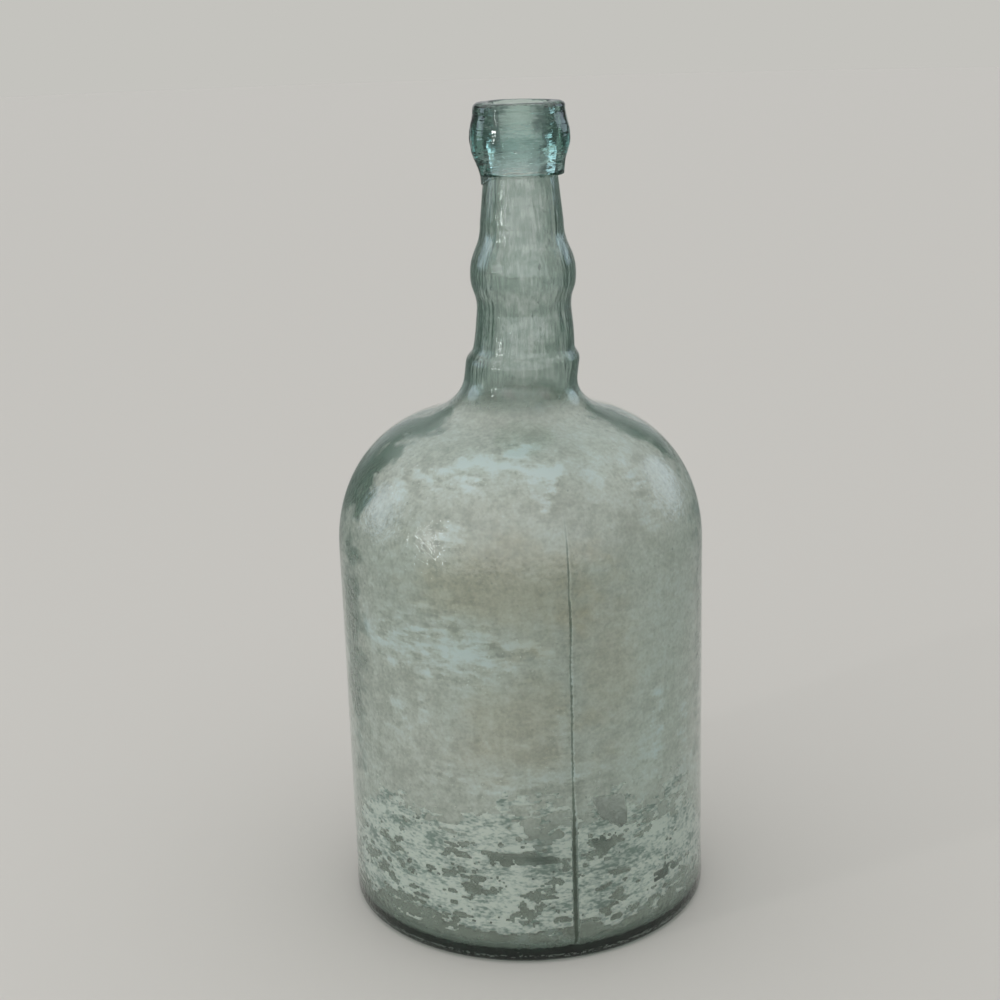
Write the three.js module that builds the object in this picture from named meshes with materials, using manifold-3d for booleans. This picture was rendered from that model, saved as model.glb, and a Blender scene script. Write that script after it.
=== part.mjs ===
// A five-litre demijohn: a mould-blown glass bottle, the lip laid round its neck, and the lime dried on its inside.
// Millimetres, +Z up. The origin is the middle of the ring that the bottle stands on, and the front is towards -Y.
import * as THREE from "three";
import { mergeVertices } from "three/addons/utils/BufferGeometryUtils.js";
import Module from "manifold-3d";

// Blown body, from the ground up
const bodyRadius = 90;
const bodyWall = 3.2;
const heelRadius = 4.5;
const heelWall = 5;
const heelInnerRadius = 8;
const standWidth = 8;
const kickUpHeight = 16;
const kickUpCrown = 44;
const sideHeight = 181.5;
const shoulderHeight = 61.9;
const shoulderCurl = 31.5;
const shoulderReach = 24;
const shoulderTopRadius = 49.3;
const shoulderTopSlope = THREE.MathUtils.degToRad(17.3);

// Neck, from the shoulder up to the end that the lip covers
const neckWall = 3.6;
const throatHeight = 20.1;
const throatSweep = 10.6;
const throatRise = 11.4;
const collarRadius = 27.7;
const collarHeight = 7.4;
const collarStep = 8.1;
const footRadius = 24.6;
const footHeight = 18;
const waistRadius = 22.8;
const bulbRise = 15.7;
const bulbRadius = 25.5;
const bulbFall = 24.8;
const taperRadius = 20.1;
const taperHeight = 22;
const neckEndRadius = 17.7;
const neckShift = 4.7;
const neckShiftHeight = 50;

// Mould seams
const seamAngle = THREE.MathUtils.degToRad(14.2);
const seamWidth = 1.6;
const seamHeight = 0.5;
const seamRoot = 1;

// Applied lip
const lipSeat = 13;
const lipGap = 0.3;
const lipSkirtRadius = 20.9;
const lipBulgeRise = 17;
const lipBulgeRadius = 24.1;
const lipTaperHeight = 14;
const lipRimRadius = 21.8;
const lipCrownHeight = 2.6;
const mouthRadius = 14;
const mouthRounding = 2.4;
const dripLength = 4.5;
const dripThinning = 1.8;
const dripAngle = Math.PI;
const dripHalfWidth = THREE.MathUtils.degToRad(60);

// Lime left by what the bottle held: a haze over the wall, and scale below its last tide line
const limeGap = 0.3;
const filmThickness = 0.4;
const filmFootRise = 1.5;
const scaleThickness = 0.8;
const scaleHeight = 70;
const scaleWave = 7;
const scaleWaveCount = 5;

const segments = 48;

// Heights that follow from the sizes above
const sideTop = heelRadius + sideHeight;
const shoulderTop = sideTop + shoulderHeight;
const collarFoot = shoulderTop + throatHeight;
const collarTop = collarFoot + collarHeight;
const footLevel = collarTop + collarStep;
const waistLevel = footLevel + footHeight;
const bulbLevel = waistLevel + bulbRise;
const taperLevel = bulbLevel + bulbFall;
const lipFoot = taperLevel + taperHeight;
const neckEnd = lipFoot + lipSeat;
const lipBulgeLevel = lipFoot + lipBulgeRise;
const lipRimLevel = lipBulgeLevel + lipTaperHeight;
const mouthTop = lipRimLevel + lipCrownHeight;

const wasm = await Module();
wasm.setup();

const point = (radius, height) => new THREE.Vector2(radius, height);
const line = (from, to) => new THREE.LineCurve(from, to);
const bow = (from, pull, to) => new THREE.QuadraticBezierCurve(from, pull, to);
const sweep = (from, pullFrom, pullTo, to) => new THREE.CubicBezierCurve(from, pullFrom, pullTo, to);

// An S-shaped stretch between two radii, upright at both ends.
function ogee(from, to) {
  const middle = (from.y + to.y) / 2;
  return sweep(from, point(from.x, middle), point(to.x, middle), to);
}

// Points along a chain of [curve, steps] stretches, with each shared end point kept once.
function trace(stretches) {
  return stretches.flatMap(([curve, steps], i) => curve.getPoints(steps).slice(i === 0 ? 0 : 1));
}

// The straight side and the shoulder, drawn inset from the outer face by a thickness.
function shoulderStretches(inset, foot) {
  const start = point(bodyRadius - inset, sideTop);
  const along = point(Math.cos(shoulderTopSlope), -Math.sin(shoulderTopSlope));
  const inward = point(along.y, -along.x).multiplyScalar(inset);
  const end = point(shoulderTopRadius, shoulderTop).add(inward);
  const curl = point(start.x, start.y + shoulderCurl);
  const reach = end.clone().addScaledVector(along, shoulderReach);
  return [
    [line(point(start.x, foot), start), 1],
    [sweep(start, curl, reach, end), 9],
  ];
}

// The throat and the neck, from the shoulder's top to the neck's end, inset from the outer face.
function neckStretches(inset, start) {
  const along = point(Math.cos(shoulderTopSlope), -Math.sin(shoulderTopSlope));
  const sweepEnd = start.clone().addScaledVector(along, -throatSweep);
  const collarLow = point(collarRadius - inset, collarFoot);
  const collarHigh = point(collarRadius - inset, collarTop);
  const foot = point(footRadius - inset, footLevel);
  const waist = point(waistRadius - inset, waistLevel);
  const bulb = point(bulbRadius - inset, bulbLevel);
  const taper = point(taperRadius - inset, taperLevel);
  return [
    [sweep(start, sweepEnd, point(collarLow.x, collarFoot - throatRise), collarLow), 5],
    [line(collarLow, collarHigh), 1],
    [ogee(collarHigh, foot), 3],
    [line(foot, waist), 1],
    [ogee(waist, bulb), 5],
    [ogee(bulb, taper), 5],
    [line(taper, point(neckEndRadius - inset, lipFoot)), 1],
    [line(point(neckEndRadius - inset, lipFoot), point(neckEndRadius - inset, neckEnd)), 1],
  ];
}

// The underside: the kick-up, the flat ring that the bottle stands on, and the heel.
function baseStretches() {
  const standOuter = bodyRadius - heelRadius;
  const standInner = standOuter - standWidth;
  const heel = new THREE.EllipseCurve(standOuter, heelRadius, heelRadius, heelRadius, -Math.PI / 2, 0);
  return [
    [bow(point(0, kickUpHeight), point(kickUpCrown, kickUpHeight), point(standInner, 0)), 5],
    [line(point(standInner, 0), point(standOuter, 0)), 1],
    [heel, 4],
  ];
}

// The inside of the base: the rounded corner, then the floor over the kick-up, from the axis outwards.
function floorStretches() {
  const side = bodyRadius - bodyWall;
  const cornerRadius = side - heelInnerRadius;
  const cornerLevel = heelWall + heelInnerRadius;
  const crownLevel = kickUpHeight + heelWall;
  const floor = bow(point(0, crownLevel), point(kickUpCrown, crownLevel), point(cornerRadius, heelWall));
  const corner = new THREE.EllipseCurve(
    cornerRadius, cornerLevel, heelInnerRadius, heelInnerRadius, -Math.PI / 2, 0,
  );
  return { top: cornerLevel, stretches: [[floor, 5], [corner, 4]] };
}

// How far the neck stands to the right of the body's axis at a height: none below the shoulder's top, all above.
function shiftAt(height) {
  const middle = collarFoot;
  const half = neckShiftHeight / 2;
  return neckShift * THREE.MathUtils.smoothstep(height, middle - half, middle + half);
}

// Turns an outline round the upright axis, then sets the neck over to its side.
function turn(outline) {
  const geometry = new THREE.LatheGeometry(outline, segments);
  geometry.rotateX(Math.PI / 2);
  const places = geometry.getAttribute("position");
  for (let i = 0; i < places.count; i += 1) {
    places.setX(i, places.getX(i) + shiftAt(places.getZ(i)));
  }
  return geometry;
}

// Merged triangles of a geometry, as a solid that can be joined or cut.
function solidOf(geometry) {
  geometry.deleteAttribute("normal");
  geometry.deleteAttribute("uv");
  const merged = mergeVertices(geometry);
  const places = merged.getAttribute("position").array;
  const corners = merged.index.array;
  const whole = [];
  for (let i = 0; i < corners.length; i += 3) {
    const [a, b, c] = corners.slice(i, i + 3);
    if (a !== b && b !== c && c !== a) {
      whole.push(a, b, c);
    }
  }
  const mesh = new wasm.Mesh({
    numProp: 3,
    vertProperties: new Float32Array(places),
    triVerts: new Uint32Array(whole),
  });
  return new wasm.Manifold(mesh);
}

// A solid's triangles as a geometry.
function geometryOf(solid) {
  const { vertProperties, triVerts } = solid.getMesh();
  const geometry = new THREE.BufferGeometry();
  geometry.setAttribute("position", new THREE.BufferAttribute(vertProperties, 3));
  geometry.setIndex(new THREE.BufferAttribute(triVerts, 1));
  geometry.computeVertexNormals();
  return geometry;
}

// One upright seam, where the two halves of the mould met, along the side and up the shoulder.
function seamRib(angle) {
  const crest = trace(shoulderStretches(-seamHeight, heelRadius));
  const root = trace(shoulderStretches(seamRoot, heelRadius));
  const shape = new THREE.Shape([...crest, ...root.reverse()]);
  const rib = new THREE.ExtrudeGeometry(shape, { depth: seamWidth, bevelEnabled: false });
  rib.translate(0, 0, -seamWidth / 2);
  rib.rotateX(Math.PI / 2);
  rib.rotateZ(angle - Math.PI / 2);
  return solidOf(rib);
}

// The blown bottle: outer face up from the kick-up, over the neck's end, and back down the inside to the floor.
function bottleBody() {
  const outerShoulder = shoulderStretches(0, heelRadius);
  const outerNeck = neckStretches(0, outerShoulder[1][0].v3);
  const floor = floorStretches();
  const innerShoulder = shoulderStretches(bodyWall, floor.top);
  const innerNeck = neckStretches(neckWall, innerShoulder[1][0].v3);
  const outside = trace([...baseStretches(), ...outerShoulder, ...outerNeck]);
  const inside = trace([...floor.stretches, ...innerShoulder, ...innerNeck]);
  const shell = solidOf(turn([...outside, ...inside.reverse()]));
  return geometryOf(shell.add(seamRib(seamAngle)).add(seamRib(seamAngle + Math.PI)));
}

// The space that the neck's end takes up inside the lip, grown by the gap between the two glasses.
function neckSocket() {
  const taper = point(taperRadius + lipGap, taperLevel);
  const seat = point(neckEndRadius + lipGap, lipFoot);
  const end = point(seat.x, neckEnd + lipGap);
  return solidOf(turn([point(0, taper.y), taper, seat, end, point(0, end.y)]));
}

// The applied lip: a ring of glass that covers the neck's end, with a run of glass down one side.
function appliedLip() {
  const skirt = point(lipSkirtRadius, lipFoot);
  const bulge = point(lipBulgeRadius, lipBulgeLevel);
  const rim = point(lipRimRadius, lipRimLevel);
  const crownEdge = point(mouthRadius + mouthRounding, mouthTop);
  const mouthEdge = point(mouthRadius, mouthTop - mouthRounding);
  const boreFoot = point(mouthRadius, lipFoot);
  const outline = trace([
    [line(boreFoot, skirt), 1],
    [ogee(skirt, bulge), 6],
    [ogee(bulge, rim), 5],
    [bow(rim, point(lipRimRadius, mouthTop), crownEdge), 4],
    [bow(crownEdge, point(mouthRadius, mouthTop), mouthEdge), 3],
    [line(mouthEdge, boreFoot), 1],
  ]);
  const blank = turn(outline);
  pullDrip(blank);
  return geometryOf(solidOf(blank).subtract(neckSocket()));
}

// Draws the lip's skirt down and thins it on the side where the soft glass ran.
function pullDrip(geometry) {
  const places = geometry.getAttribute("position");
  const middle = shiftAt(mouthTop);
  for (let i = 0; i < places.count; i += 1) {
    const across = places.getX(i) - middle;
    const away = places.getY(i);
    const angle = Math.abs(Math.atan2(away, across));
    const side = THREE.MathUtils.smoothstep(dripHalfWidth - Math.abs(dripAngle - angle), 0, dripHalfWidth);
    const low = 1 - THREE.MathUtils.smoothstep(places.getZ(i), lipFoot, lipBulgeLevel);
    const radius = Math.hypot(across, away);
    const thinner = radius > mouthRadius ? (radius - dripThinning * side * low) / radius : 1;
    places.setXYZ(i, middle + across * thinner, away * thinner, places.getZ(i) - dripLength * side * low);
  }
}

// The haze of lime over the inside of the wall and shoulder, open at its foot and its top.
function limeFilm() {
  const foot = floorStretches().top + filmFootRise;
  const outerInset = bodyWall + limeGap;
  const outside = trace(shoulderStretches(outerInset, foot));
  const inside = trace(shoulderStretches(outerInset + filmThickness, foot));
  return turn([...outside, ...inside.reverse(), outside[0].clone()]);
}

// The scale below the last tide line, with a wavy upper edge.
function tideScale() {
  const foot = floorStretches().top + filmFootRise;
  const outerRadius = bodyRadius - bodyWall - limeGap - filmThickness - limeGap;
  const innerRadius = outerRadius - scaleThickness;
  const top = foot + scaleHeight;
  const outline = trace([
    [line(point(outerRadius, foot), point(outerRadius, top)), 1],
    [line(point(outerRadius, top), point(innerRadius, top)), 1],
    [line(point(innerRadius, top), point(innerRadius, foot)), 1],
    [line(point(innerRadius, foot), point(outerRadius, foot)), 1],
  ]);
  const ring = turn(outline);
  const places = ring.getAttribute("position");
  const middle = (foot + top) / 2;
  for (let i = 0; i < places.count; i += 1) {
    if (places.getZ(i) > middle) {
      const angle = Math.atan2(places.getY(i), places.getX(i));
      places.setZ(i, places.getZ(i) + scaleWave * Math.sin(scaleWaveCount * angle));
    }
  }
  return ring;
}

const demijohn = new THREE.Group();

// Adds one named piece with its own finish.
function addPiece(name, geometry, color, roughness, opacity) {
  const material = new THREE.MeshStandardMaterial({
    color,
    roughness,
    metalness: 0,
    opacity,
    transparent: opacity < 1,
  });
  const mesh = new THREE.Mesh(geometry, material);
  mesh.name = name;
  demijohn.add(mesh);
}

addPiece("bottle_body", bottleBody(), "#9fb8ad", 0.08, 0.45);
addPiece("applied_lip", appliedLip(), "#5f8a80", 0.06, 0.6);
addPiece("lime_film", limeFilm(), "#aab2a6", 0.85, 0.6);
addPiece("tide_scale", tideScale(), "#d3d6cc", 0.9, 1);

export default demijohn;
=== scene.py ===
# %% [markdown]
# A demijohn in aqua glass: a bottle blown in a two-part mould, a lip laid hot round the end of its neck, and the
# lime that its last contents left on the inside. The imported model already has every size, so this lesson makes the
# looks: the wavy glass, the thick lip, the haze on the wall and the flaky scale near the bottom.

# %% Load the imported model
import math

import bpy
import numpy as np
from mathutils import Matrix, Vector, noise


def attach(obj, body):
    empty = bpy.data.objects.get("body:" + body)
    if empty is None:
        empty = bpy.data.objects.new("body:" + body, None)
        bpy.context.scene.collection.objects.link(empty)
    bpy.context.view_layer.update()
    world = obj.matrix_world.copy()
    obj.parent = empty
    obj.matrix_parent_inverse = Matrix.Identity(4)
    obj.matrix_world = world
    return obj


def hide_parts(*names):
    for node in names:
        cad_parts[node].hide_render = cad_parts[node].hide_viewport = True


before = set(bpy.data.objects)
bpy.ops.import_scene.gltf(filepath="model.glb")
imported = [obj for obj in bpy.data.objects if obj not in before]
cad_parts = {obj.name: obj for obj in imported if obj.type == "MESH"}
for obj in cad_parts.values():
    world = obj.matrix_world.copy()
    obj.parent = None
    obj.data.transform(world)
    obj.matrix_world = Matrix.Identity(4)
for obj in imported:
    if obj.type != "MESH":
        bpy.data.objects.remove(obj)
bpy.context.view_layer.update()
print("packed nodes:", sorted(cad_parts))

# %% [markdown]
# A few small helpers serve the whole lesson. Colours are written as on a paint card, in sRGB, and a shader wants
# linear numbers. A node is added with its settings and all that goes into it: a number or a colour is set, and a node
# or a socket is linked. Sizes are written in millimetres, as a bottle maker would, and turned to metres where Blender
# takes them.

# %% Helpers for colours, nodes and sizes
MM = 0.001
TIMES = {"operation": "MULTIPLY"}
TIMES_PLUS = {"operation": "MULTIPLY_ADD"}
PLUS = {"operation": "ADD"}
LARGER = {"operation": "MAXIMUM"}
SMALLER = {"operation": "MINIMUM"}
WITHOUT_SIGN = {"operation": "ABSOLUTE"}
SMOOTH = {"interpolation_type": "SMOOTHSTEP"}


def paint(code):
    """The linear colour that a shader takes, from an sRGB hex code."""
    channels = [int(code[i:i + 2], 16) / 255 for i in (1, 3, 5)]
    linear = [c / 12.92 if c <= 0.04045 else ((c + 0.055) / 1.055) ** 2.4 for c in channels]
    return (*linear, 1.0)


def add_node(tree, kind, settings=None, inputs=None):
    """A node of this kind with its settings, and with each input set to a value or linked to a socket or a node."""
    node = tree.nodes.new("ShaderNode" + kind)
    for name, value in (settings or {}).items():
        setattr(node, name, value)
    for key, source in (inputs or {}).items():
        if isinstance(source, bpy.types.Node):
            source = source.outputs[0]
        if isinstance(source, bpy.types.NodeSocket):
            tree.links.new(source, node.inputs[key])
        else:
            node.inputs[key].default_value = source
    return node


def new_material(name):
    """An empty node material and its output node."""
    material = bpy.data.materials.new(name)
    material.use_nodes = True
    tree = material.node_tree
    tree.nodes.clear()
    return material, tree, add_node(tree, "OutputMaterial")


# %% [markdown]
# The camera stands where the photographer stood, a little above the lip and tipped down, so the body narrows towards
# its foot in the picture. Lens, height and tilt were worked out from the bottle's own outline. The slight turn and
# roll are those of a camera held by hand.

# %% Camera
CAMERA_BACK = 819 * MM
CAMERA_HEIGHT = 449.6 * MM
CAMERA_TIP = math.radians(16.62)
CAMERA_TURN = math.radians(0.67)
CAMERA_ROLL = math.radians(-1.77)
SENSOR_WIDTH = 36.0
LENS_LENGTH = 62.28

camera_data = bpy.data.cameras.new("camera")
camera_data.sensor_width = SENSOR_WIDTH
camera_data.lens = LENS_LENGTH
camera = bpy.data.objects.new("camera", camera_data)
bpy.context.collection.objects.link(camera)
camera.matrix_world = (
    Matrix.Translation((0, -CAMERA_BACK, CAMERA_HEIGHT))
    @ Matrix.Rotation(CAMERA_TURN, 4, "Z")
    @ Matrix.Rotation(math.pi / 2 - CAMERA_TIP, 4, "X")
    @ Matrix.Rotation(CAMERA_ROLL, 4, "Z")
)
bpy.context.scene.camera = camera
bpy.context.scene.view_settings.view_transform = "Standard"
print("camera at", tuple(round(v, 3) for v in camera.location))

# %% [markdown]
# The bottle's sizes, from the ground up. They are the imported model's own: the outline of a blown bottle is a few
# straight stretches joined by soft curves, because the mould gives the outside and the breath gives the inside.

# %% Sizes of the bottle, in millimetres
BODY_RADIUS = 90
BODY_WALL = 3.2
HEEL_RADIUS = 4.5
HEEL_WALL = 5
HEEL_INNER_RADIUS = 8
STAND_WIDTH = 8
KICK_UP_HEIGHT = 16
KICK_UP_CROWN = 44
SIDE_TOP = 186
SHOULDER_TOP = 247.9
SHOULDER_CURL = 31.5
SHOULDER_REACH = 24
SHOULDER_TOP_RADIUS = 49.3
SHOULDER_TOP_SLOPE = math.radians(17.3)
NECK_WALL = 3.6
THROAT_SWEEP = 10.6
THROAT_RISE = 11.4
COLLAR_RADIUS = 27.7
COLLAR_FOOT = 268
COLLAR_TOP = 275.4
FOOT_RADIUS = 24.6
FOOT_LEVEL = 283.5
WAIST_RADIUS = 22.8
WAIST_LEVEL = 301.5
BULB_RADIUS = 25.5
BULB_LEVEL = 317.2
TAPER_RADIUS = 20.1
TAPER_LEVEL = 342
NECK_END_RADIUS = 17.7
LIP_FOOT = 364
NECK_SHIFT = 4.7
NECK_SHIFT_HEIGHT = 50
SEAM_ANGLE = math.radians(14.2)


def shift_at(heights):
    """How far the neck stands over to the right at these heights, in millimetres."""
    t = np.clip((heights - COLLAR_FOOT) / NECK_SHIFT_HEIGHT + 0.5, 0, 1)
    return NECK_SHIFT * t * t * (3 - 2 * t)


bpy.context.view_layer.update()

# %% [markdown]
# An outline is a chain of points, each a radius and a height. Straight stretches need two points, soft ones are cubic
# curves with two pulls, and an ogee is the S-shaped curve that a glassmaker gets by pinching a neck.

# %% Outline tools


def line(start, end, steps):
    """Points from start to end, without the first."""
    t = np.linspace(0, 1, steps + 1)[1:, None]
    return np.asarray(start) + t * (np.asarray(end) - np.asarray(start))


def curve(start, pull_start, pull_end, end, steps):
    """Points along a cubic curve, without the first."""
    a, b, c, d = (np.asarray(p, float) for p in (start, pull_start, pull_end, end))
    t = np.linspace(0, 1, steps + 1)[1:, None]
    return (1 - t) ** 3 * a + 3 * (1 - t) ** 2 * t * b + 3 * (1 - t) * t * t * c + t ** 3 * d


def ogee(start, end, steps):
    """An S-shaped stretch, upright at both ends."""
    middle = (start[1] + end[1]) / 2
    return curve(start, (start[0], middle), (end[0], middle), end, steps)


def arc(centre, radius, steps):
    """A quarter round from straight down to straight out, without the first point."""
    a = np.linspace(-math.pi / 2, 0, steps + 1)[1:]
    return np.stack([centre[0] + radius * np.cos(a), centre[1] + radius * np.sin(a)], axis=1)


# %% Outlines of the shoulder and the neck


def shoulder_outline(inset, foot, side_steps, dome_steps):
    """The straight side from foot upwards and the dome of the shoulder, inset from the outer face."""
    along = np.array([math.cos(SHOULDER_TOP_SLOPE), -math.sin(SHOULDER_TOP_SLOPE)])
    inward = np.array([along[1], -along[0]])
    start = np.array([BODY_RADIUS - inset, SIDE_TOP])
    end = np.array([SHOULDER_TOP_RADIUS, SHOULDER_TOP]) + inset * inward
    dome = curve(start, start + (0, SHOULDER_CURL), end + SHOULDER_REACH * along, end, dome_steps)
    return np.vstack([line((start[0], foot), start, side_steps), dome])


def neck_outline(inset, start, top):
    """The throat, collar, bulb and taper of the neck, up to a height under the lip."""
    along = np.array([math.cos(SHOULDER_TOP_SLOPE), -math.sin(SHOULDER_TOP_SLOPE)])
    collar_foot = np.array([COLLAR_RADIUS - inset, COLLAR_FOOT])
    collar_top = (COLLAR_RADIUS - inset, COLLAR_TOP)
    foot = (FOOT_RADIUS - inset, FOOT_LEVEL)
    waist = (WAIST_RADIUS - inset, WAIST_LEVEL)
    bulb = (BULB_RADIUS - inset, BULB_LEVEL)
    taper = (TAPER_RADIUS - inset, TAPER_LEVEL)
    return np.vstack([
        curve(start, start - THROAT_SWEEP * along, collar_foot - (0, THROAT_RISE), collar_foot, 14),
        line(collar_foot, collar_top, 4),
        ogee(collar_top, foot, 10),
        line(foot, waist, 10),
        ogee(waist, bulb, 14),
        ogee(bulb, taper, 18),
        line(taper, (NECK_END_RADIUS - inset, top), 12),
    ])


# %% [markdown]
# A round piece is made as on a potter's wheel: half the outline is drawn, then spun round the upright axis. In
# Blender the outline starts as one point, grows by extruding point after point, and Spin turns it into a skin. Spin
# leaves doubled points where the turn closes, so they are merged and the faces are turned to point outwards.

# %% Spinning an outline


def spin_outline(name, outline, segments):
    """A mesh object from an outline of radius and height in millimetres, spun round the upright axis."""
    places = [Vector((r * MM, 0, z * MM)) for r, z in outline]
    bpy.ops.object.select_all(action="DESELECT")
    bpy.ops.mesh.primitive_plane_add(size=MM)
    piece = bpy.context.object
    piece.name = name
    piece.data.name = name
    bpy.ops.object.mode_set(mode="EDIT")
    bpy.ops.mesh.select_all(action="SELECT")
    bpy.ops.mesh.merge(type="CENTER")
    bpy.ops.transform.translate(value=places[0])
    for before, after in zip(places, places[1:]):
        bpy.ops.mesh.extrude_region_move(TRANSFORM_OT_translate={"value": after - before})
    bpy.ops.mesh.select_all(action="SELECT")
    bpy.ops.mesh.spin(steps=segments, angle=2 * math.pi, center=(0, 0, 0), axis=(0, 0, 1))
    bpy.ops.mesh.select_all(action="SELECT")
    bpy.ops.mesh.remove_doubles(threshold=0.001 * MM)
    bpy.ops.mesh.normals_make_consistent(inside=False)
    bpy.ops.object.mode_set(mode="OBJECT")
    bpy.ops.object.shade_smooth()
    return piece


def read_points(piece):
    """A mesh's points as an array, in millimetres."""
    flat = np.empty(len(piece.data.vertices) * 3)
    piece.data.vertices.foreach_get("co", flat)
    return flat.reshape(-1, 3) / MM


def write_points(piece, points):
    """Puts points, in millimetres, back into a mesh."""
    piece.data.vertices.foreach_set("co", (points * MM).ravel())
    piece.data.update()


def swell(points, size):
    """Smooth noise from -1 to 1 at each point; size is one swell's length along X, Y and Z in millimetres."""
    scaled = points / np.asarray(size, float)
    return np.array([noise.noise(Vector(p)) for p in scaled])


# %% [markdown]
# The bottle itself: up the outside from the middle of the kick-up, over the end of the neck, and down the inside to
# the floor. It is drawn with both faces, because the glass is thicker at the heel and the neck than in the side, and
# that is where its colour deepens.

# %% Blown bottle
BOTTLE_SEGMENTS = 256
SIDE_STEPS = 26
DOME_STEPS = 34
NECK_CUT = LIP_FOOT + 0.8


def base_outline():
    """The underside from the axis out: kick-up, standing ring and heel."""
    stand_outer = BODY_RADIUS - HEEL_RADIUS
    stand_inner = stand_outer - STAND_WIDTH
    top = (0, KICK_UP_HEIGHT)
    crown = (KICK_UP_CROWN * 2 / 3, KICK_UP_HEIGHT)
    fall = (KICK_UP_CROWN + (stand_inner - KICK_UP_CROWN) / 3, KICK_UP_HEIGHT * 2 / 3)
    return np.vstack([
        [top],
        curve(top, crown, fall, (stand_inner, 0), 16),
        line((stand_inner, 0), (stand_outer, 0), 3),
        arc((stand_outer, HEEL_RADIUS), HEEL_RADIUS, 8),
    ])


def floor_outline(sink):
    """The inside of the base from the axis out: floor and rounded corner, sunk this deep into the glass."""
    corner = BODY_RADIUS - BODY_WALL - HEEL_INNER_RADIUS
    level = KICK_UP_HEIGHT + HEEL_WALL - sink
    top = (0, level)
    crown = (KICK_UP_CROWN * 2 / 3, level)
    fall = (KICK_UP_CROWN + (corner - KICK_UP_CROWN) / 3, level - KICK_UP_HEIGHT / 3)
    return np.vstack([
        [top],
        curve(top, crown, fall, (corner, HEEL_WALL - sink), 14),
        arc((corner, HEEL_WALL + HEEL_INNER_RADIUS), HEEL_INNER_RADIUS + sink, 8),
    ])


outer_shoulder = shoulder_outline(0, HEEL_RADIUS, SIDE_STEPS, DOME_STEPS)
inner_shoulder = shoulder_outline(BODY_WALL, HEEL_WALL + HEEL_INNER_RADIUS, SIDE_STEPS, DOME_STEPS)
outside = np.vstack([base_outline(), outer_shoulder, neck_outline(0, outer_shoulder[-1], NECK_CUT)])
inside = np.vstack([floor_outline(0), inner_shoulder, neck_outline(NECK_WALL, inner_shoulder[-1], NECK_CUT)])
bottle = spin_outline("blown_bottle", np.vstack([outside, inside[::-1]]), BOTTLE_SEGMENTS)
print("bottle:", len(outside), "points outside,", len(inside), "inside,", len(bottle.data.polygons), "faces")

# %% [markdown]
# The two halves of the mould left a seam up each side. A seam is far narrower than a face here, so the skin is first
# cut with Bisect along planes beside the seam. The cuts give edges to raise, and the ridge stays narrow and straight.

# %% Cut the skin beside the mould seams
SEAM_HALF_WIDTH = 0.8
SEAM_HEIGHT = 0.5
seam_across = Vector((math.cos(SEAM_ANGLE), math.sin(SEAM_ANGLE), 0))

bpy.ops.object.select_all(action="DESELECT")
bottle.select_set(True)
bpy.context.view_layer.objects.active = bottle
bpy.ops.object.mode_set(mode="EDIT")
for offset in (-2 * SEAM_HALF_WIDTH, -SEAM_HALF_WIDTH, SEAM_HALF_WIDTH, 2 * SEAM_HALF_WIDTH):
    bpy.ops.mesh.select_all(action="SELECT")
    bpy.ops.mesh.bisect(plane_co=seam_across * offset * MM, plane_no=seam_across)
bpy.ops.object.mode_set(mode="OBJECT")
print("bottle after the cuts:", len(bottle.data.polygons), "faces")

# %% [markdown]
# Blown glass is never even. The body swells and dips slowly, the neck is drawn out while it is hot and so carries
# fine upright waves, and the inside is wavier than the outside, which the mould pressed smooth. The points are moved
# along the radius by smooth noise, on the outside of the body a little inwards only, so that the bottle keeps its
# size. Last, the neck goes over to the side on which it cooled.

# %% Waves of hand-blown glass
# Lengths of the waves along X, Y and Z, and their depths on the inside and the outside, in millimetres.
SLOW_WAVES = (70, 70, 90)
SLOW_DEPTHS = (0.6, 0.2)
DIPS = (16, 16, 26)
DIP_DEPTHS = (0.16, 0.04)
NECK_STREAKS = (6, 6, 30)
NECK_LINES = (2.2, 2.2, 14)
NECK_LINE_SHARE = 0.4
NECK_DEPTHS = (0.3, 0.08)
NECK_WAVES_START = 8
# Far enough from the outside's noise for the two faces to differ.
INSIDE_APART = 500
LINES_APART = 90


def ramp(values, low, high):
    """0 at low, 1 at high, smooth between."""
    t = np.clip((values - low) / (high - low), 0, 1)
    return t * t * (3 - 2 * t)


def wall_waves(points, inside):
    """How far the wall of the body is moved along the radius at each point, on its inside or its outside."""
    apart = points + (INSIDE_APART if inside else 0)
    slow = swell(apart, SLOW_WAVES)
    dips = swell(apart, DIPS)
    if inside:
        move = SLOW_DEPTHS[0] * slow + DIP_DEPTHS[0] * dips
    else:
        move = SLOW_DEPTHS[1] * (slow - 1) + DIP_DEPTHS[1] * (dips - 1)
    return move * ramp(points[:, 2], HEEL_RADIUS, 4 * HEEL_RADIUS)


def neck_waves(points, inside):
    """How far the neck is moved along the radius at each point: streaks drawn out along it."""
    apart = points + (INSIDE_APART if inside else 0)
    streaks = swell(apart, NECK_STREAKS) + NECK_LINE_SHARE * swell(apart + LINES_APART, NECK_LINES)
    start = ramp(points[:, 2], COLLAR_FOOT - NECK_WAVES_START, COLLAR_FOOT + NECK_WAVES_START)
    return NECK_DEPTHS[0 if inside else 1] * streaks * start


# %% Move the bottle's points
SEAM_FADE = 8

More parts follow.
